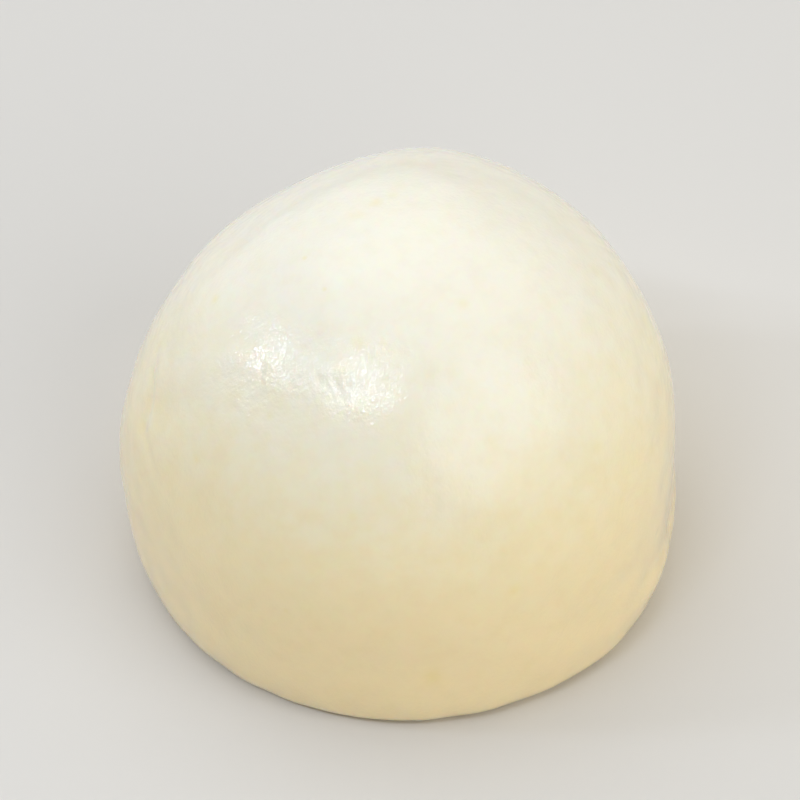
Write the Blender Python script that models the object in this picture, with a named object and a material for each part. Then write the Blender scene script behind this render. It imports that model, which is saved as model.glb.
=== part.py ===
"""Steamed bun: one closed piece of plain wheat dough that rests on its flat seat.

The bun starts as a sphere. Each vertex of the sphere is a direction out of the heart of
the dough, and its place on the skin is worked out from the sizes below: a domed crown
above the waist, a tucked foot under it, a flat seat, and a few broad swells and presses.

Metres, +Z up. The origin is the bottom centre of the bun, at the middle of its seat.
"""

import math
from typing import NamedTuple

import bmesh
import bpy
import numpy as np

# Size of the finished bun.
WIDTH = 0.0845  # along X
DEPTH = 0.087  # along Y
HEIGHT = 0.0645  # along Z

# Side profile of the dough.
WAIST_HEIGHT = 0.0165  # height of the widest ring above the seat
FOOT_TUCK = 0.005  # how far the edge of the seat lies inside the widest ring
CROWN_FULLNESS = 2.1  # power of the curve over the waist: 2 is an ellipse, more is boxier
FOOT_FULLNESS = 3.5  # the same under the waist, where the foot rolls over a tight edge
CROWN_LEAN = 0.0005  # how far the top of the crown leans towards +X

# Rings and meridians of the sphere that the bun starts as.
MERIDIANS = 80
RINGS = 40
SEAT_RINGS = 4  # the lowest rings lie flat in the seat

# Steamed white dough.
DOUGH_COLOUR = (0.86, 0.78, 0.56)  # linear RGB
DOUGH_ROUGHNESS = 0.42


class Swell(NamedTuple):
    """A broad rise of the skin around one direction out of the heart of the dough."""

    azimuth: float  # degrees round from +X towards +Y
    polar: float  # degrees down from straight up
    spread: float  # degrees out to where a third of the rise is left
    rise: float  # metres, and below zero the skin is pressed in


SWELLS = (
    Swell(135, 55, 28, -0.0021),  # flat shoulder at the back left
    Swell(100, 55, 25, -0.0013),  # where that flat runs on across the back
    Swell(60, 55, 25, -0.0004),  # rounder shoulder at the back right
    Swell(25, 60, 25, -0.0006),
    Swell(180, 65, 28, 0.0008),  # full left side
    Swell(185, 95, 22, 0.0008),
    Swell(355, 95, 22, -0.0011),  # flatter right side
    Swell(320, 104, 24, 0.0005),  # foot that spreads at the front right
)


def clear_objects():
    """Empty the scene."""
    for thing in list(bpy.data.objects):
        bpy.data.objects.remove(thing, do_unlink=True)


def side_profile(polar):
    """Share of the half width that the skin reaches, and its height, at each polar angle.

    Over the waist and under it, the profile is a quarter of a superellipse. The last
    rings run straight in over the flat seat.
    """
    quarter = math.pi / 2
    seat_angle = math.pi * (1 - SEAT_RINGS / RINGS)
    seat_reach = 1 - 2 * FOOT_TUCK / WIDTH
    sine, cosine = np.sin(polar), np.abs(np.cos(polar))
    crown_reach = sine ** (2 / CROWN_FULLNESS)
    crown_height = WAIST_HEIGHT + (HEIGHT - WAIST_HEIGHT) * cosine ** (2 / CROWN_FULLNESS)

    turn = np.clip((polar - quarter) / (seat_angle - quarter), 0, 1) * quarter
    foot_reach = seat_reach + (1 - seat_reach) * np.cos(turn) ** (2 / FOOT_FULLNESS)
    foot_height = WAIST_HEIGHT * (1 - np.sin(turn) ** (2 / FOOT_FULLNESS))

    across_seat = np.clip((math.pi - polar) / (math.pi - seat_angle), 0, 1)
    foot_reach = np.where(polar < seat_angle, foot_reach, seat_reach * across_seat)
    over = polar <= quarter
    return np.where(over, crown_reach, foot_reach), np.where(over, crown_height, foot_height)


def swelling(directions):
    """How far the swells push the skin out along each direction."""
    total = np.zeros(len(directions))
    for swell in SWELLS:
        azimuth, polar = math.radians(swell.azimuth), math.radians(swell.polar)
        middle = np.array([
            math.sin(polar) * math.cos(azimuth),
            math.sin(polar) * math.sin(azimuth),
            math.cos(polar),
        ])
        away = np.arccos(np.clip(directions @ middle, -1, 1))
        total += swell.rise * np.exp(-(away / math.radians(swell.spread)) ** 2)
    return total


def skin(directions):
    """Points of the dough's skin, one along each unit direction out of its heart."""
    polar = np.arccos(np.clip(directions[:, 2], -1, 1))
    azimuth = np.arctan2(directions[:, 1], directions[:, 0])
    reach, height = side_profile(polar)
    up_crown = np.clip((height - WAIST_HEIGHT) / (HEIGHT - WAIST_HEIGHT), 0, 1)
    points = np.stack([
        WIDTH / 2 * reach * np.cos(azimuth) + CROWN_LEAN * up_crown,
        DEPTH / 2 * reach * np.sin(azimuth),
        height,
    ], axis=1)
    # The swells fade out from the waist down, so that the seat stays flat.
    low = np.clip(height / WAIST_HEIGHT, 0, 1)
    fade = low * low * (3 - 2 * low)
    return points + directions * (swelling(directions) * fade)[:, None]


def fit_to_size(points):
    """Bring the points to the finished size, with the seat's middle at the origin."""
    lowest, highest = points.min(axis=0), points.max(axis=0)
    middle = (lowest + highest) / 2
    middle[2] = lowest[2]
    return (points - middle) * (np.array([WIDTH, DEPTH, HEIGHT]) / (highest - lowest))


def make_dough():
    """Material of the bun's skin: creamy white, with a satin sheen."""
    dough = bpy.data.materials.new("steamed_dough")
    dough.use_nodes = True
    shader = dough.node_tree.nodes["Principled BSDF"]
    shader.inputs["Base Color"].default_value = (*DOUGH_COLOUR, 1)
    shader.inputs["Roughness"].default_value = DOUGH_ROUGHNESS
    shader.inputs["Metallic"].default_value = 0
    dough.diffuse_color = (*DOUGH_COLOUR, 1)
    return dough


def make_bun(collection, dough):
    """The bun itself: a sphere whose vertices are moved out onto the dough's skin."""
    form = bmesh.new()
    bmesh.ops.create_uvsphere(form, u_segments=MERIDIANS, v_segments=RINGS, radius=1)
    directions = np.array([vertex.co.normalized() for vertex in form.verts])
    for vertex, place in zip(form.verts, fit_to_size(skin(directions))):
        vertex.co = place
    bmesh.ops.recalc_face_normals(form, faces=form.faces)

    mesh = bpy.data.meshes.new("bun")
    form.to_mesh(mesh)
    form.free()
    mesh.shade_smooth()
    mesh.materials.append(dough)
    bun = bpy.data.objects.new("bun", mesh)
    collection.objects.link(bun)
    return bun


def main():
    clear_objects()
    collection = bpy.data.collections.new("steamed_bun")
    bpy.context.scene.collection.children.link(collection)
    make_bun(collection, make_dough())


main()
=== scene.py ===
"""Looks of a steamed bun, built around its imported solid.

One piece of white wheat dough, proved, steamed and set down on its flat seat. The skin is
a fine closed surface worked out from the bun's own sizes, with the shallow dents, pinholes,
creases and ripples of steamed dough as real relief. One procedural finish adds the grain that
is finer than the mesh.

Metres, +Z up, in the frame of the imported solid.
"""

import logging
import math
from dataclasses import dataclass, field
from enum import Enum

import bpy
import numpy as np
from mathutils import Matrix, Vector


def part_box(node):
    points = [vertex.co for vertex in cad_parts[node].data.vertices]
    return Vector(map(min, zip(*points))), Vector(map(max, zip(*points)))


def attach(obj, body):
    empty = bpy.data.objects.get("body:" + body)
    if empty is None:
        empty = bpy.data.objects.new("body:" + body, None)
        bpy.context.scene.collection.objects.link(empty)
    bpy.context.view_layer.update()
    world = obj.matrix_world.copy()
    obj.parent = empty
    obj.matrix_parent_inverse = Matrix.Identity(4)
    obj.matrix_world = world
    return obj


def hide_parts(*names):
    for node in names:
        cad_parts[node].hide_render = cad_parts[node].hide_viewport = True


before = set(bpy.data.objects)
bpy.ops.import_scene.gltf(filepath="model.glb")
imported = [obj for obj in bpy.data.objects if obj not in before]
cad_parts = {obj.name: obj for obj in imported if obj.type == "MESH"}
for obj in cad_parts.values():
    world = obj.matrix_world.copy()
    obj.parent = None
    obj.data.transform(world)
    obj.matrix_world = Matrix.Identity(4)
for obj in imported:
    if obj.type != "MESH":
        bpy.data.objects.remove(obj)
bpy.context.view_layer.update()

MM = 0.001  # metres in a millimetre
QUARTER = math.pi / 2
AIM = 0.42  # share of the bun's height that the camera and the lamps aim at
STAIN = "stain"  # attribute: share of yellow at each point of the skin
EASED = {"interpolation_type": "SMOOTHSTEP"}  # settings of a Map Range node that eases

log = logging.getLogger("steamed_bun")


# ---------------------------------------------------------------- small helpers


def linear(colour: str) -> tuple[float, float, float, float]:
    """Turn an sRGB hex colour into the linear RGBA that the shaders take.

    Args:
        colour: six hex digits after a hash sign.

    Returns:
        Red, green, blue and an alpha of 1.
    """
    shares = [int(colour[i:i + 2], 16) / 255 for i in (1, 3, 5)]
    red, green, blue = (
        share / 12.92 if share <= 0.04045 else ((share + 0.055) / 1.055) ** 2.4 for share in shares
    )
    return red, green, blue, 1.0


def smoothstep(low: float, high: float, values: np.ndarray) -> np.ndarray:
    """Ease from 0 at low to 1 at high, level at both ends (3t squared minus 2t cubed).

    Args:
        low: value where the step starts.
        high: value where it is complete.
        values: what to ease.

    Returns:
        A number from 0 to 1 for each value.
    """
    t = np.clip((values - low) / (high - low), 0, 1)
    return t * t * (3 - 2 * t)


def headings(azimuth: np.ndarray, turn: np.ndarray) -> np.ndarray:
    """Unit vectors at an azimuth round from +X and a turn down from +Z, in radians.

    Args:
        azimuth: angles round the vertical axis.
        turn: angles down from straight up.

    Returns:
        One row of x, y, z for each pair of angles.
    """
    across = np.sin(turn)
    return np.stack([across * np.cos(azimuth), across * np.sin(azimuth), np.cos(turn)], axis=-1)


def add_node(
    tree: bpy.types.NodeTree,
    kind: str,
    settings: dict[str, object] | None = None,
    inputs: dict[str | int, object] | None = None,
) -> bpy.types.Node:
    """Add a node, set it up and link it.

    Args:
        tree: node tree that the node joins.
        kind: Blender's name for the node type.
        settings: the node's own properties.
        inputs: for each input socket, by name or number, a value or the output to link.

    Returns:
        The new node.
    """
    node = tree.nodes.new(kind)
    for name, value in (settings or {}).items():
        setattr(node, name, value)
    for name, value in (inputs or {}).items():
        if isinstance(value, bpy.types.NodeSocket):
            tree.links.new(value, node.inputs[name])
        else:
            node.inputs[name].default_value = value
    return node


# ---------------------------------------------------------------- finishes


@dataclass(frozen=True)
class Patches:
    """Soft blotches of the skin: noise, eased between two values."""

    size_mm: float  # across one blotch
    low: float  # value where the noise is lowest
    high: float  # and where it is highest
    start: float = 0.3  # share of the noise where the value leaves low
    end: float = 0.7  # and where it reaches high
    detail: float = 2.0  # how many finer layers ride on the blotches

    def add(self, tree: bpy.types.NodeTree, place: bpy.types.NodeSocket) -> bpy.types.NodeSocket:
        """Add the patches to a finish.

        Args:
            tree: node tree of the finish.
            place: coordinates to read.

        Returns:
            The value at each point, from low to high.
        """
        noise = add_node(tree, "ShaderNodeTexNoise", inputs={
            "Vector": place, "Scale": 1 / (self.size_mm * MM), "Detail": self.detail,
        }).outputs["Fac"]
        return add_node(tree, "ShaderNodeMapRange", EASED, {
            "Value": noise, "From Min": self.start, "From Max": self.end,
            "To Min": self.low, "To Max": self.high,
        }).outputs["Result"]


@dataclass(frozen=True)
class SteamedDough:
    """White wheat dough cooked in steam.

    Steam turns the starch of the outermost layer into a thin damp gel. That gives the eye
    a creamy white that light enters by a few millimetres, so that shadows stay soft and
    warm, and over it a thin film whose fine grain of set bubbles and tiny wrinkles breaks
    the highlights up into sparks. The colour runs from whiter at the crown to yellower at
    the foot. Part of that is the dough's own tone and part is painted light: a painted
    brighter top where light falls from above, and painted warm bounced light and shade
    towards the foot.
    """

    name: str = "steamed_wheat_dough"
    crown: str = "#FBF3E0"  # whitest skin, partly painted light falling from above
    side: str = "#F6E7BB"
    foot: str = "#F4DFAE"  # yellower foot, partly the dough's own tone and partly painted warm bounced light and shade
    fleck: str = "#F8F5D2"  # tint of specks of bran and dried flour
    stain: str = "#FBFADC"  # tint where the skin is thin over a pit
    damp: str = "#F1ECD8"  # tint of the dampest patches, which light enters deepest
    seat: str = "#F0E2C0"  # skin that dried against the slats
    crown_tone_and_top_light_zone: tuple[float, float] = (26 * MM, 62 * MM)  # heights where side turns into crown
    foot_tone_and_bounce_zone: tuple[float, float] = (42 * MM, 12 * MM)  # and where side turns into foot
    seat_zone: tuple[float, float] = (0.5 * MM, 0.1 * MM)  # and where the seat begins
    film_roughness: float = 0.10
    ior: float = 1.42  # starch gel
    clouds: Patches = Patches(24.0, -1.5 * MM, 1.5 * MM)  # how far up they carry the colour
    mottle: Patches = Patches(4.0, -2.5 * MM, 2.5 * MM, detail=4)  # the same, finer
    dampness: Patches = Patches(3.0, 0.0, 0.15, start=0.4, end=0.8)  # share of the damp tint
    dullness: Patches = Patches(9.0, 0.45, 0.57)  # roughness under the film
    seat_roughness: float = 0.8
    fleck_spacing_mm: float = 6.5
    fleck_reach: tuple[float, float] = (0.10, 0.03)  # its edge and core, as shares of the spacing
    fleck_choice: tuple[float, float] = (0.70, 0.80)  # a random number past these gives a cell one
    fleck_strength: float = 0.55
    grain_mm: float = 0.5
    wrinkle_mm: float = 1.2
    wrinkle_share: float = 1.9  # height of the wrinkles against that of the bubbles
    grain_stretch: float = 1.25  # how much longer than wide the grain is
    skin_grain_mm: float = 0.02  # how high the grain stands in the dough
    film_grain_mm: float = 0.06  # and in the film, which puckers more as it sets
    edge_on: tuple[float, float] = (0.75, 0.35)  # tilt where the film's grain is gone, and whole

    def material(self) -> bpy.types.Material:
        """Build the finish.

        Returns:
            The material, which reads Object coordinates.
        """
        made = bpy.data.materials.new(self.name)
        made.use_nodes = True
        tree = made.node_tree
        shader = tree.nodes["Principled BSDF"]
        place = add_node(tree, "ShaderNodeTexCoord").outputs["Object"]
        height = add_node(tree, "ShaderNodeSeparateXYZ", inputs={0: place}).outputs["Z"]
        start, end = self.seat_zone
        on_seat = add_node(tree, "ShaderNodeMapRange", EASED, {
            "Value": height, "From Min": start, "From Max": end,
        }).outputs["Result"]
        dull = add_node(tree, "ShaderNodeMix", inputs={
            0: on_seat, 2: self.dullness.add(tree, place), 3: self.seat_roughness,
        })
        tree.links.new(dull.outputs[0], shader.inputs["Roughness"])
        tree.links.new(self.colour(tree, place, height, on_seat), shader.inputs["Base Color"])
        grain = self.grain(tree, place)
        # Seen edge-on, the grain hides its own hollows, and the film's gloss looks smooth.
        tilt = add_node(tree, "ShaderNodeLayerWeight", inputs={"Blend": 0.5}).outputs["Facing"]
        start, end = self.edge_on
        seen = add_node(tree, "ShaderNodeMapRange", EASED, {
            "Value": tilt, "From Min": start, "From Max": end,
        }).outputs["Result"]
        for socket, height_mm, strength in (
            ("Normal", self.skin_grain_mm, 1.0),
            ("Coat Normal", self.film_grain_mm, seen),
        ):
            bump = add_node(tree, "ShaderNodeBump", inputs={
                "Strength": strength, "Distance": height_mm * MM, "Height": grain,
            })
            tree.links.new(bump.outputs["Normal"], shader.inputs[socket])
        for name, value in {
            "IOR": self.ior,
            "Specular IOR Level": 0.2,
            "Subsurface Weight": 0.60,
            "Subsurface Radius": (1.0, 0.62, 0.30),
            "Subsurface Scale": 3.0 * MM,
            "Coat Weight": 1.0,
            "Coat Roughness": self.film_roughness,
            "Coat IOR": 1.45,
        }.items():
            shader.inputs[name].default_value = value
        return made

    def colour(self, tree: bpy.types.NodeTree, place: bpy.types.NodeSocket,
               height: bpy.types.NodeSocket, on_seat: bpy.types.NodeSocket) -> bpy.types.NodeSocket:
        """White at the crown, cream down the sides and yellower at the foot, with a few specks. The
        whiter crown and yellower foot are partly the dough's own tone and partly painted light:
        brighter where light falls from above, and warmer and darker where bounced light and
        shade fall low down.

        Slow clouds and a faint mottle carry the change up and down a little, as the gel is
        thicker in some places than in others.

        Args:
            tree: node tree of the finish.
            place: coordinates to read.
            height: height over the seat, in metres.
            on_seat: 1 on the seat and 0 off it.

        Returns:
            The base colour.
        """
        moved = height
        for patches in (self.clouds, self.mottle):
            inputs = {0: moved, 1: patches.add(tree, place)}
            moved = add_node(tree, "ShaderNodeMath", {"operation": "ADD"}, inputs).outputs[0]
        # Blend by height, partly painted light: a whiter crown for light from above and a yellower foot
        # for warm bounced light and shade, besides the dough's own tone.
        crown, foot = (
            add_node(tree, "ShaderNodeMapRange", EASED, {
                "Value": moved, "From Min": start, "From Max": end,
            }).outputs["Result"]
            for start, end in (self.crown_tone_and_top_light_zone, self.foot_tone_and_bounce_zone)
        )
        stain = add_node(tree, "ShaderNodeAttribute", {"attribute_name": STAIN})
        skin = linear(self.side)
        for kind, share, tint in (
            # crown and foot tints: partly painted light from above and painted warm bounced light and
            # shade below
            ("MIX", crown, self.crown),
            ("MIX", foot, self.foot),
            ("MULTIPLY", self.dampness.add(tree, place), self.damp),
            ("MULTIPLY", self.flecks(tree, place), self.fleck),
            ("MULTIPLY", stain.outputs["Fac"], self.stain),
            ("MIX", on_seat, self.seat),
        ):
            settings = {"data_type": "RGBA", "blend_type": kind}
            inputs = {0: share, 6: skin, 7: linear(tint)}
            skin = add_node(tree, "ShaderNodeMix", settings, inputs).outputs[2]
        return skin

    def flecks(self, tree: bpy.types.NodeTree, place: bpy.types.NodeSocket) -> bpy.types.NodeSocket:
        """Specks about a millimetre across with a soft edge, in one cell out of seven.

        Args:
            tree: node tree of the finish.
            place: coordinates to read.

        Returns:
            Share of speck at each point.
        """
        cells = add_node(tree, "ShaderNodeTexVoronoi",
                         inputs={"Vector": place, "Scale": 1 / (self.fleck_spacing_mm * MM)})
        near, chosen = (
            add_node(tree, "ShaderNodeMapRange", EASED, {
                "Value": cells.outputs[name], "From Min": start, "From Max": end, "To Max": most,
            }).outputs["Result"]
            for name, (start, end), most in (
                ("Distance", self.fleck_reach, self.fleck_strength),
                ("Color", self.fleck_choice, 1.0),
            )
        )
        return add_node(tree, "ShaderNodeMath", {"operation": "MULTIPLY"}, {0: near, 1: chosen}).outputs[0]

    def grain(self, tree: bpy.types.NodeTree, place: bpy.types.NodeSocket) -> bpy.types.NodeSocket:
        """Grain too fine for the mesh: set bubbles and a net of tiny wrinkles, drawn out downwards.

        The height is bubbles plus share times |folds minus a half|.

        Args:
            tree: node tree of the finish.
            place: coordinates to read.

        Returns:
            Height of the grain, as a share of the height that it is given in each layer.
        """
        drawn = add_node(tree, "ShaderNodeMapping",
                         inputs={"Vector": place, "Scale": (1, 1, 1 / self.grain_stretch)})
        bubbles, folds = (
            add_node(tree, "ShaderNodeTexNoise", inputs={
                "Vector": drawn.outputs["Vector"], "Scale": 1 / (size_mm * MM), "Detail": 2,
            }).outputs["Fac"]
            for size_mm in (self.grain_mm, self.wrinkle_mm)
        )
        centred = add_node(tree, "ShaderNodeMath", {"operation": "SUBTRACT"}, {0: folds, 1: 0.5})
        ridges = add_node(tree, "ShaderNodeMath", {"operation": "ABSOLUTE"}, {0: centred.outputs[0]})
        inputs = {0: ridges.outputs[0], 1: self.wrinkle_share, 2: bubbles}
        return add_node(tree, "ShaderNodeMath", {"operation": "MULTIPLY_ADD"}, inputs).outputs[0]


@dataclass(frozen=True)
class PaleFloor:
    """Matt painted board: pale, warm and without a pattern, so that it stays in the background."""

    name: str = "pale_painted_board"
    paint: str = "#DEDBD4"
    roughness: float = 0.8

    def material(self) -> bpy.types.Material:
        """Build the finish.

        Returns:
            The material, with the faintest unevenness of rolled paint.
        """
        made = bpy.data.materials.new(self.name)
        made.use_nodes = True
        tree = made.node_tree
        shader = tree.nodes["Principled BSDF"]
        shader.inputs["Base Color"].default_value = linear(self.paint)
        shader.inputs["Roughness"].default_value = self.roughness
        place = add_node(tree, "ShaderNodeTexCoord").outputs["Object"]
        stipple = add_node(tree, "ShaderNodeTexNoise", inputs={"Vector": place, "Scale": 1 / (2 * MM)})
        bump = add_node(tree, "ShaderNodeBump",
                        inputs={"Distance": 0.02 * MM, "Height": stipple.outputs["Fac"]})
        tree.links.new(bump.outputs["Normal"], shader.inputs["Normal"])
        return made


# ---------------------------------------------------------------- relief of the skin


@dataclass(frozen=True)
class Swell:
    """A broad rise of the dough around one direction out of its heart.

    Its height falls off as e to the minus (angle over spread) squared.
    """

    azimuth: float  # degrees round from +X towards +Y
    turn: float  # degrees down from straight up
    spread: float  # degrees out to where a third of the rise is left
    rise: float  # metres, and below zero the skin is pressed in

    def height(self, directions: np.ndarray) -> np.ndarray:
        """How far the swell pushes the skin out along each direction.

        Args:
            directions: unit vectors, one to a row.

        Returns:
            One height for each direction, in metres.
        """
        middle = headings(np.radians(self.azimuth), np.radians(self.turn))
        away = np.arccos(np.clip(directions @ middle, -1, 1))
        return self.rise * np.exp(-(away / math.radians(self.spread)) ** 2)


@dataclass(frozen=True)
class Ripples:
    """An even, patternless ripple: the sum of plane sine waves with random headings.

    A sharp ripple is 0.8 minus the size of that sum, whether it is above or below zero.
    """

    wavelength: float  # metres
    height: float  # metres, the usual distance from the middle to a crest
    seed: int
    waves: int = 28  # how many are summed
    sharp: bool = False  # narrow crests and round hollows, as on wrinkled skin

    def at(self, points: np.ndarray) -> np.ndarray:
        """Height of the ripple at each point.

        Args:
            points: places in metres, one to a row.

        Returns:
            One height for each point, in metres.
        """
        draw = np.random.default_rng(self.seed)
        ways = draw.normal(size=(self.waves, 3))
        ways /= np.linalg.norm(ways, axis=1, keepdims=True)
        lengths = self.wavelength * draw.uniform(0.75, 1.35, size=(self.waves, 1))
        starts = draw.uniform(0, 2 * math.pi, size=self.waves)
        total = np.sin(points @ (2 * math.pi * ways / lengths).T + starts).sum(axis=1)
        total *= math.sqrt(2 / self.waves)
        return self.height * (0.8 - np.abs(total) if self.sharp else total)


@dataclass(frozen=True)
class Dent:
    """A soft hollow whose depth falls off as e to the minus (distance over radius) squared."""

    azimuth: float  # degrees
    turn: float
    radius: float  # metres
    depth: float  # metres, and below zero it is a bump
    stain: float = 0.0  # how yellow the skin is there, from 0 to 1


@dataclass(frozen=True)
class Crease:
    """A shallow groove in the skin between two places, bowed a little to one side.

    Its depth falls off as e to the minus (distance over width) squared.
    """

    start: tuple[float, float]  # azimuth and turn, degrees
    end: tuple[float, float]
    depth: float  # metres
    width: float  # metres from the middle to where a third of the depth is left
    bow: float = 0.0  # degrees that the middle is set off in azimuth

    def route(self, steps: int = 40) -> tuple[np.ndarray, np.ndarray, np.ndarray]:
        """The groove's route, a parabola in azimuth over a straight line in turn.

        Its depth is half a sine wave to the power 0.6, so that it runs out at both ends.

        Args:
            steps: how many points to give.

        Returns:
            Azimuths and turns in radians, and how deep the groove is there, from 0 to 1.
        """
        t = np.linspace(0, 1, steps)
        azimuth = self.start[0] + (self.end[0] - self.start[0]) * t + 4 * self.bow * t * (1 - t)
        turn = self.start[1] + (self.end[1] - self.start[1]) * t
        return np.radians(azimuth), np.radians(turn), np.sin(math.pi * t) ** 0.6


@dataclass(frozen=True)
class Fan:
    """Fine wrinkles side by side, where the skin was drawn together as it set."""

    azimuth: float  # degrees, of the fan's middle
    turn: float
    spread: float  # degrees of azimuth that the wrinkles share out between them
    reach: float  # degrees of turn that each runs down
    count: int
    depth: float = 0.03 * MM
    width: float = 0.45 * MM
    slant: float = 0.0  # degrees of azimuth that a wrinkle moves on as it runs down

    def creases(self) -> list[Crease]:
        """Place the wrinkles, each a little off its even place.

        Returns:
            One crease for each wrinkle.
        """
        draw = np.random.default_rng(self.count + round(10 * self.spread))
        step = self.spread / self.count
        made = []
        for azimuth in self.azimuth + step * (np.arange(self.count) - (self.count - 1) / 2):
            top = azimuth + step * draw.uniform(-0.4, 0.4)
            middle = self.turn + self.reach * draw.uniform(-0.3, 0.3)
            half = self.reach * draw.uniform(0.25, 0.55)
            end = top + self.slant + step * draw.uniform(-0.4, 0.4)
            made.append(Crease((top, middle - half), (end, middle + half),
                               self.depth * draw.uniform(0.5, 1.5), self.width))
        return made


@dataclass(frozen=True)
class SlatPrint:
    """Faint print of the slats that the dough was steamed on, across its seat.

    Each slat presses a band of the seat up, and the dough between two slats stays down. The
    print is a rounded square wave of x, and fades out at the edge of the seat.
    """

    pitch: float = 13 * MM  # from one slat to the next
    gap: float = 4 * MM  # between two slats
    edge: float = 0.7 * MM  # half the width of a slat's soft edge
    depth: float = 0.25 * MM
    fade: tuple[float, float] = (0.05 * MM, 1.0 * MM)  # heights over which the print ends

    def at(self, points: np.ndarray) -> np.ndarray:
        """How far the slats press the seat up at each point.

        Args:
            points: places in metres, one to a row.

        Returns:
            One height for each point, in metres.
        """
        from_gap = np.abs((points[:, 0] / self.pitch) % 1 - 0.5) * self.pitch
        pressed = smoothstep(self.gap / 2 - self.edge, self.gap / 2 + self.edge, from_gap)
        return self.depth * pressed * (1 - smoothstep(*self.fade, points[:, 2]))


# ---------------------------------------------------------------- the bun


class CubeFace(Enum):
    """The six patches that the skin's grid is blown out from.

    Each is the patch's outward direction, and the directions of its two parameters.
    """

    TOP = ((0, 0, 1), (1, 0, 0), (0, 1, 0))
    BOTTOM = ((0, 0, -1), (0, 1, 0), (1, 0, 0))
    RIGHT = ((1, 0, 0), (0, 1, 0), (0, 0, 1))
    LEFT = ((-1, 0, 0), (0, 0, 1), (0, 1, 0))
    BACK = ((0, 1, 0), (0, 0, 1), (1, 0, 0))
    FRONT = ((0, -1, 0), (1, 0, 0), (0, 0, 1))

    def grid(self, cells: int) -> np.ndarray:
        """Unit directions over the patch, at equal angles both ways.

        A point is outward plus tan(u) across plus tan(v) along, made one unit long, with u
        and v running from minus to plus 45 degrees.

        Args:
            cells: cells along each side.

        Returns:
            Directions, (cells + 1) squared rows of x, y, z.
        """
        outward, across, along = np.array(self.value, float)
        tangents = np.tan(np.linspace(-QUARTER / 2, QUARTER / 2, cells + 1))
        u, v = np.meshgrid(tangents, tangents, indexing="ij")
        ways = outward + u[..., None] * across + v[..., None] * along
        return (ways / np.linalg.norm(ways, axis=-1, keepdims=True)).reshape(-1, 3)


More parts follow.
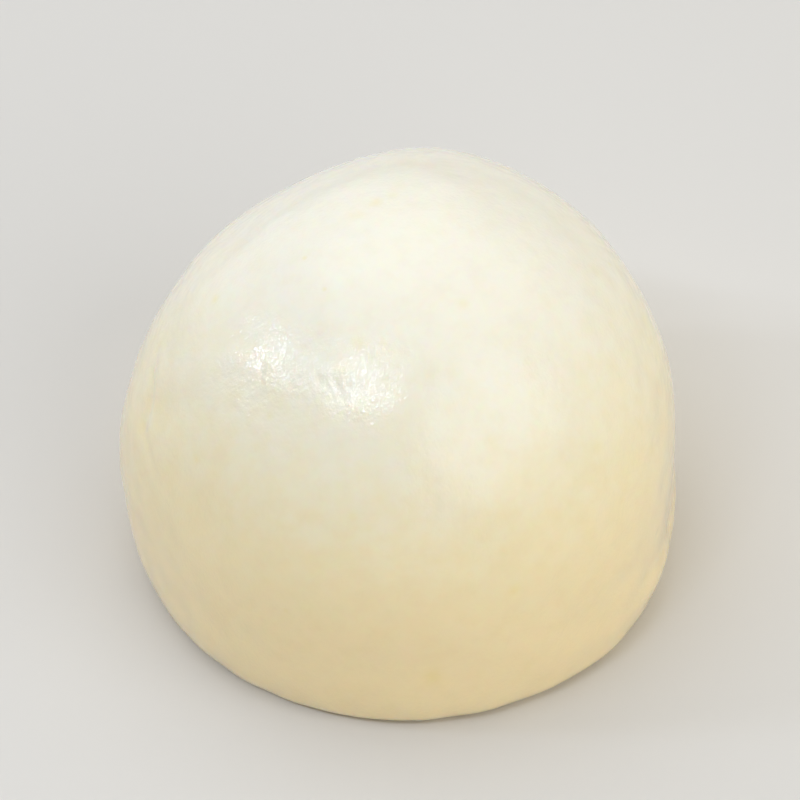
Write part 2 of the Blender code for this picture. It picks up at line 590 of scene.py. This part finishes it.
@dataclass
class Bun:
    """The bun: a domed crown over a waist, a tucked foot, a flat seat and an uneven skin."""

    size: Vector  # width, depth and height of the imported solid
    waist: float = 16.5 * MM  # height of the widest ring
    tuck: float = 5 * MM  # how far the edge of the seat lies inside the widest ring
    crown_power: float = 2.1  # 2 is an ellipse, more is boxier
    foot_power: float = 3.5
    lean: float = 0.5 * MM  # of the crown, towards +X
    seat_turn: float = math.radians(162)  # turn at which the skin reaches the seat
    cells: int = 127  # along each side of a patch, for a skin of 194,000 triangles
    skin_share: float = math.radians(143)  # of the grid's half turn, the rest is the seat
    swells: tuple[Swell, ...] = (
        Swell(135, 55, 28, -2.1 * MM),  # flat shoulder at the back left
        Swell(100, 55, 25, -1.3 * MM),  # where that flat runs on across the back
        Swell(60, 55, 25, -0.4 * MM),  # rounder shoulder at the back right
        Swell(25, 60, 25, -0.6 * MM),
        Swell(180, 65, 28, 0.8 * MM),  # full left side
        Swell(185, 95, 22, 0.8 * MM),
        Swell(355, 95, 22, -1.1 * MM),  # flatter right side
        Swell(320, 104, 24, 0.5 * MM),  # foot that spreads at the front right
    )
    ripples: tuple[Ripples, ...] = (
        Ripples(26 * MM, 0.13 * MM, seed=11),
        Ripples(12 * MM, 0.045 * MM, seed=12),
        Ripples(5.5 * MM, 0.024 * MM, seed=13),
    )
    crown_ripples: Ripples = Ripples(2.6 * MM, 0.014 * MM, seed=14, sharp=True)
    crown_rise: tuple[float, float] = (12 * MM, 42 * MM)  # heights over which they come in
    foot_ripples: Ripples = Ripples(8 * MM, 0.05 * MM, seed=21)
    foot_rise: tuple[float, float] = (4 * MM, 30 * MM)  # heights over which they go out
    seat_edge: float = 1.5 * MM  # height under which all relief dies away
    creases: tuple[Crease, ...] = (
        Crease((-28, 38), (-36, 47), 0.10 * MM, 0.7 * MM),  # fine upright line at the right
        Crease((-172, 60), (-161, 73), 0.30 * MM, 1.2 * MM, bow=3),  # wrinkle at the left
        Crease((-166, 70), (-152, 76), 0.12 * MM, 1.0 * MM, bow=2),
        Crease((-2, 101), (-14, 99), 0.24 * MM, 1.6 * MM),  # pinch in the right foot
        Crease((-14, 108), (-34, 104), -0.35 * MM, 2.4 * MM),  # roll of dough under the pinch
        Crease((62, 52), (71, 66), 0.10 * MM, 0.8 * MM, bow=2),
        Crease((150, 66), (158, 80), 0.16 * MM, 1.1 * MM, bow=-3),
        Crease((108, 84), (124, 92), 0.20 * MM, 1.6 * MM),
    )
    dents: tuple[Dent, ...] = (
        Dent(-158, 64, 3.2 * MM, 0.34 * MM),  # dimple beside the wrinkle
        Dent(-151, 68, 3.0 * MM, -0.10 * MM),
        Dent(-134, 74, 4.5 * MM, 0.30 * MM),
        Dent(-121, 70, 4.0 * MM, 0.20 * MM),
        Dent(-104, 73, 2.6 * MM, 0.22 * MM),
        Dent(-93, 73, 2.0 * MM, -0.16 * MM),
        Dent(-76, 80, 4.0 * MM, 0.22 * MM),
        Dent(-55, 84, 3.5 * MM, 0.12 * MM),
        Dent(38, 72, 4.5 * MM, 0.18 * MM),
        Dent(92, 78, 3.8 * MM, 0.20 * MM),
        Dent(128, 72, 4.2 * MM, 0.18 * MM),
        Dent(166, 84, 3.4 * MM, 0.18 * MM),
        Dent(152, 7, 0.9 * MM, 0.05 * MM, stain=0.5),
        Dent(103, 8, 1.0 * MM, -0.05 * MM, stain=0.2),
        Dent(120, 6, 0.8 * MM, 0.05 * MM, stain=0.4),
        Dent(179, 10, 1.1 * MM, 0.05 * MM, stain=0.3),
        Dent(-107, 30, 1.1 * MM, 0.03 * MM, stain=0.5),
        Dent(-60, 23, 0.8 * MM, 0.03 * MM, stain=0.4),
        Dent(-166, 42, 0.8 * MM, 0.03 * MM, stain=0.6),
    )
    fans: tuple[Fan, ...] = (
        Fan(-94, 34, 30, 10, 14, depth=0.05 * MM),
        Fan(-132, 40, 22, 9, 10, depth=0.035 * MM, slant=8),
        Fan(-113, 38, 20, 6, 8, depth=0.045 * MM, slant=6),
        Fan(-92, 60, 34, 20, 12, width=0.6 * MM),
        Fan(-52, 50, 34, 12, 13, slant=-9),
        Fan(-40, 41, 14, 9, 6),
        Fan(20, 45, 40, 14, 12, slant=6),
        Fan(95, 50, 50, 18, 14, width=0.6 * MM),
        Fan(160, 58, 44, 16, 12, slant=-6),
    )
    slats: SlatPrint = field(default_factory=SlatPrint)
    pits: int = 90  # where bubbles burst
    dough: SteamedDough = field(default_factory=SteamedDough)

    def profile(self, turn: np.ndarray) -> tuple[np.ndarray, np.ndarray]:
        """Side profile of the plain form.

        Over the waist and under it the profile is a quarter of a superellipse, and past
        the seat's turn it runs straight in to the middle of the seat.

        Args:
            turn: angles down from straight up, in radians.

        Returns:
            Share of the half width that the skin reaches, and its height.
        """
        seat_reach = 1 - 2 * self.tuck / self.size.x
        sine, cosine = np.sin(turn), np.abs(np.cos(turn))
        crown_reach = sine ** (2 / self.crown_power)
        crown_height = self.waist + (self.size.z - self.waist) * cosine ** (2 / self.crown_power)
        under = np.clip((turn - QUARTER) / (self.seat_turn - QUARTER), 0, 1) * QUARTER
        foot_reach = seat_reach + (1 - seat_reach) * np.cos(under).clip(0) ** (2 / self.foot_power)
        foot_height = self.waist * (1 - np.sin(under) ** (2 / self.foot_power))
        across = np.clip((math.pi - turn) / (math.pi - self.seat_turn), 0, 1)
        foot_reach = np.where(turn < self.seat_turn, foot_reach, seat_reach * across)
        over = turn <= QUARTER
        return np.where(over, crown_reach, foot_reach), np.where(over, crown_height, foot_height)

    def even_turn(self, angle: np.ndarray) -> np.ndarray:
        """Turns that space the grid's rings evenly along the profile.

        The length of the profile is summed from the crown to the seat and read backwards.
        The seat, which nobody sees, takes what is left of the grid.

        Args:
            angle: the grid's own angles down from straight up, in radians.

        Returns:
            The turn for each angle.
        """
        turns = np.linspace(0, self.seat_turn, 4001)
        reach, height = self.profile(turns)
        steps = np.hypot(np.diff(reach) * self.size.x / 2, np.diff(height))
        run = np.concatenate([[0], np.cumsum(steps)])
        skin = np.interp(angle / self.skin_share, run / run[-1], turns)
        seat_share = (angle - self.skin_share) / (math.pi - self.skin_share)
        seat = self.seat_turn + seat_share * (math.pi - self.seat_turn)
        return np.where(angle < self.skin_share, skin, seat)

    def plain_skin(self, azimuth: np.ndarray, turn: np.ndarray) -> np.ndarray:
        """Points of the dough before its fine relief, not yet fitted to the solid's box.

        The profile is carried round an ellipse, leans with height, and is pushed along
        each direction by the swells, which fade out towards the seat.

        Args:
            azimuth: angles round from +X, in radians.
            turn: angles down from straight up, in radians.

        Returns:
            One point for each pair of angles.
        """
        reach, height = self.profile(turn)
        up_crown = np.clip((height - self.waist) / (self.size.z - self.waist), 0, 1)
        points = np.stack([
            self.size.x / 2 * reach * np.cos(azimuth) + self.lean * up_crown,
            self.size.y / 2 * reach * np.sin(azimuth),
            height,
        ], axis=-1)
        directions = headings(azimuth, turn)
        rise = sum(swell.height(directions) for swell in self.swells)
        return points + directions * (rise * smoothstep(0, self.waist, height))[:, None]

    def fit(self, points: np.ndarray, lowest: np.ndarray, highest: np.ndarray) -> np.ndarray:
        """Stretch points from one box to the solid's size, with the seat's middle at the origin.

        Args:
            points: what to move.
            lowest: low corner of the box that they come from.
            highest: high corner of it.

        Returns:
            The moved points.
        """
        middle = (lowest + highest) / 2
        middle[2] = lowest[2]
        return (points - middle) * (np.array(self.size) / (highest - lowest))

    def grid(self) -> tuple[np.ndarray, np.ndarray]:
        """The skin's grid: six patches sewn into one closed sphere of directions.

        Returns:
            Unit directions, and the four corners of each cell, wound to face outwards.
        """
        side = self.cells + 1
        index = np.arange(side * side).reshape(side, side)
        cell = np.stack([index[:-1, :-1], index[1:, :-1], index[1:, 1:], index[:-1, 1:]], axis=-1)
        patches = [face.grid(self.cells) for face in CubeFace]
        corners = [cell.reshape(-1, 4) + number * side * side for number in range(len(patches))]
        rounded = np.round(np.concatenate(patches), 7)
        directions, sewn = np.unique(rounded, axis=0, return_inverse=True)
        return directions, sewn.reshape(-1)[np.concatenate(corners)]

    def normals(self, points: np.ndarray, corners: np.ndarray) -> np.ndarray:
        """Outward unit normal at each point: the sum of the crossed diagonals of its cells.

        Args:
            points: the skin's points.
            corners: the four corners of each cell.

        Returns:
            One unit vector for each point.
        """
        a, b, c, d = (points[corners[:, k]] for k in range(4))
        facing = np.cross(c - a, d - b)
        total = np.zeros_like(points)
        for k in range(4):
            for axis in range(3):
                total[:, axis] += np.bincount(corners[:, k], facing[:, axis], len(points))
        return total / np.linalg.norm(total, axis=1, keepdims=True)

    def scattered(self) -> list[Dent]:
        """Small pits where bubbles burst at the skin, scattered over it at random.

        Returns:
            The pits, half a millimetre to a millimetre and a half in radius.
        """
        draw = np.random.default_rng(5)
        azimuths = draw.uniform(-180, 180, self.pits)
        turns = np.degrees(np.arccos(draw.uniform(-0.15, 1, self.pits)))
        sizes = 0.5 + draw.uniform(0, 1, self.pits) ** 2
        depths = draw.uniform(0.01, 0.06, self.pits)
        stains = draw.uniform(0, 0.75, self.pits) ** 2
        return [Dent(*row) for row in zip(azimuths, turns, sizes * MM, depths * MM, stains)]

    def relief(
        self, points: np.ndarray, box: tuple[np.ndarray, np.ndarray]
    ) -> tuple[np.ndarray, np.ndarray]:
        """Fine relief of the skin: ripples, dents, pits and creases.

        Ripples, dents and pits are summed. A crease takes the deepest of the bells along its
        route, so that it is no deeper where its points lie close together.

        Args:
            points: the fitted skin.
            box: low and high corner of the box that the skin was fitted from.

        Returns:
            Height over the plain skin, in metres, and share of stain, at each point.
        """
        height = sum(ripple.at(points) for ripple in self.ripples)
        height += self.foot_ripples.at(points) * (1 - smoothstep(*self.foot_rise, points[:, 2]))
        height += self.crown_ripples.at(points) * smoothstep(*self.crown_rise, points[:, 2])
        stain = np.zeros(len(points))
        for dent in (*self.dents, *self.scattered()):
            middle = self.place(dent.azimuth, dent.turn, box)
            bell = np.exp(-np.sum((points - middle) ** 2, axis=1) / dent.radius ** 2)
            height -= dent.depth * bell
            stain += dent.stain * bell
        for crease in (*self.creases, *(crease for fan in self.fans for crease in fan.creases())):
            azimuth, turn, share = crease.route()
            route = self.fit(self.plain_skin(azimuth, turn), *box)
            reach = np.ptp(route, axis=0).max() + 3 * crease.width
            near = np.flatnonzero(np.abs(points - route.mean(axis=0)).max(axis=1) < reach)
            gap = np.linalg.norm(points[near, None, :] - route[None], axis=2)
            height[near] -= crease.depth * (share * np.exp(-(gap / crease.width) ** 2)).max(axis=1)
        return height * smoothstep(0, self.seat_edge, points[:, 2]), stain.clip(0, 1)

    def place(self, azimuth: float, turn: float, box: tuple[np.ndarray, np.ndarray]) -> np.ndarray:
        """The point of the plain skin at an azimuth and turn, both in degrees."""
        skin = self.plain_skin(np.radians([azimuth]), np.radians([turn]))
        return self.fit(skin, *box)[0]

    def build(self) -> bpy.types.Object:
        """Work out the skin, make it a mesh and dress it.

        Returns:
            The bun, at the origin, with its place in its mesh.
        """
        directions, corners = self.grid()
        azimuth = np.arctan2(directions[:, 1], directions[:, 0])
        turn = self.even_turn(np.arccos(np.clip(directions[:, 2], -1, 1)))
        rough = self.plain_skin(azimuth, turn)
        box = rough.min(axis=0), rough.max(axis=0)
        points = self.fit(rough, *box)
        raised, stain = self.relief(points, box)
        pressed = self.slats.at(points)
        points = points + self.normals(points, corners) * raised[:, None]
        points[:, 2] = points[:, 2].clip(0) + pressed

        mesh = bpy.data.meshes.new("bun_skin")
        mesh.from_pydata(points.tolist(), [], corners.tolist())
        yellow = mesh.attributes.new(STAIN, "FLOAT", "POINT")
        yellow.data.foreach_set("value", stain.astype(np.float32))
        mesh.shade_smooth()
        mesh.materials.append(self.dough.material())
        bun = bpy.data.objects.new("bun_skin", mesh)
        bpy.context.scene.collection.objects.link(bun)
        return bun


# ---------------------------------------------------------------- studio


@dataclass(frozen=True)
class Softbox:
    """A studio lamp with a flat, even face that is turned to the bun."""

    name: str
    heading: tuple[float, float, float]  # from the bun towards the lamp
    distance: float  # metres from the target
    size: tuple[float, float]  # metres
    watts: float
    along: tuple[float, float, float] = (1, 0, 0)  # which way its first side runs
    colour: str = "#FFFFFF"
    rounded: bool = False  # an ellipse of that size instead of a rectangle

    def place(self, target: Vector) -> None:
        """Hang the lamp and turn it to the target.

        Args:
            target: the point that it faces.
        """
        lamp = bpy.data.lights.new(self.name, "AREA")
        lamp.shape = "ELLIPSE" if self.rounded else "RECTANGLE"
        lamp.size, lamp.size_y = self.size
        lamp.energy = self.watts
        lamp.color = linear(self.colour)[:3]
        holder = bpy.data.objects.new(self.name, lamp)
        way = Vector(self.heading).normalized()
        side = (Vector(self.along) - way * way.dot(Vector(self.along))).normalized()
        holder.location = target + way * self.distance
        holder.rotation_euler = Matrix((side, way.cross(side), way)).transposed().to_euler()
        bpy.context.scene.collection.objects.link(holder)


@dataclass
class Studio:
    """Pale floor, soft light and the camera."""

    target: Vector  # point that the camera looks at
    camera_place: Vector = field(default_factory=lambda: Vector((21.9, -639.3, 626.3)) * MM)
    lens_mm: float = 262.0
    floor_size: float = 6.0  # metres along each side
    air: str = "#FDFDFF"  # colour of the light off the walls
    wall_light: float = 0.37  # how strong that light is
    ceiling_light: float = 0.03  # and overhead
    wall_top: tuple[float, float] = (0.15, 0.65)  # sines of elevation: where walls end, ceiling starts
    floor: PaleFloor = field(default_factory=PaleFloor)
    softboxes: tuple[Softbox, ...] = (
        Softbox("ceiling", (0.10, 0.20, 0.97), 1.5, (2.6, 2.4), 14.6),
        Softbox("window", (-0.87, -0.07, 0.51), 1.3, (0.22, 0.12), 1.9, (0.72, -0.43, 0.34), "#DEE9FF"),
        Softbox("second_window", (-0.26, -0.48, 0.83), 1.3, (0.42, 0.07), 2.0, (0.93, 0.03, 0.36),
                "#DEE9FF"),
        Softbox("window_rail", (-0.56, -0.38, 0.74), 1.3, (0.90, 0.05), 2.1, (0.72, -0.43, 0.34),
                "#DEE9FF"),
        Softbox("back_panel", (-0.54, 0.58, 0.61), 1.5, (2.8, 2.0), 11.9),
        Softbox("right_back_panel", (0.62, 0.45, 0.64), 1.5, (1.6, 1.6), 1.4),
        Softbox("side_panel", (0.62, -0.61, 0.49), 1.5, (1.9, 1.4), 10.7, (0.64, 0.77, 0), rounded=True),
        Softbox("cream_card", (0.93, 0.20, 0.26), 1.2, (0.9, 0.5), 0.6, colour="#FFEA90"),
    )

    def build(self) -> None:
        """Lay the floor, hang the lamps, light the sky and set up the camera."""
        self.lay_floor()
        for box in self.softboxes:
            box.place(self.target)
        self.light_sky()
        self.set_camera()

    def lay_floor(self) -> None:
        """A floor that runs far past the view on every side."""
        half = self.floor_size / 2
        mesh = bpy.data.meshes.new("floor")
        mesh.from_pydata([(-half, -half, 0), (half, -half, 0), (half, half, 0), (-half, half, 0)],
                         [], [(0, 1, 2, 3)])
        mesh.materials.append(self.floor.material())
        floor = bpy.data.objects.new("floor", mesh)
        bpy.context.scene.collection.objects.link(floor)

    def light_sky(self) -> None:
        """White light off pale walls all round, and little from overhead, where the lamps hang.

        The light is eased from the walls' to the ceiling's with the sine of the elevation.
        """
        world = bpy.data.worlds.new("pale_room")
        world.use_nodes = True
        tree = world.node_tree
        way = add_node(tree, "ShaderNodeTexCoord").outputs["Generated"]
        height = add_node(tree, "ShaderNodeSeparateXYZ", inputs={0: way}).outputs["Z"]
        start, end = self.wall_top
        light = add_node(tree, "ShaderNodeMapRange", EASED, {
            "Value": height, "From Min": start, "From Max": end,
            "To Min": self.wall_light, "To Max": self.ceiling_light,
        }).outputs["Result"]
        tree.links.new(light, tree.nodes["Background"].inputs["Strength"])
        tree.nodes["Background"].inputs["Color"].default_value = linear(self.air)
        bpy.context.scene.world = world

    def set_camera(self) -> None:
        """A long lens from the front, looking down at the bun."""
        lens = bpy.data.cameras.new("camera")
        lens.lens = self.lens_mm
        lens.sensor_width = 36
        camera = bpy.data.objects.new("camera", lens)
        camera.location = self.camera_place
        way = self.camera_place - self.target
        camera.rotation_euler = way.to_track_quat("Z", "Y").to_euler()
        bpy.context.scene.collection.objects.link(camera)
        bpy.context.scene.camera = camera
        bpy.context.scene.view_settings.view_transform = "Standard"


def main() -> None:
    """Build the bun and its studio, and hand the pieces to the frame."""
    logging.basicConfig(level=logging.INFO, format="%(name)s: %(message)s")
    lowest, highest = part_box("bun")
    bun = Bun(size=highest - lowest).build()
    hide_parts("bun")
    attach(bun, "root")
    log.info("%s: %d cells", bun.name, len(bun.data.polygons))

    middle = (lowest + highest) / 2
    Studio(target=Vector((middle.x, middle.y, AIM * highest.z))).build()
    log.info("studio: floor, lamps and camera")


if __name__ == "__main__":
    main()
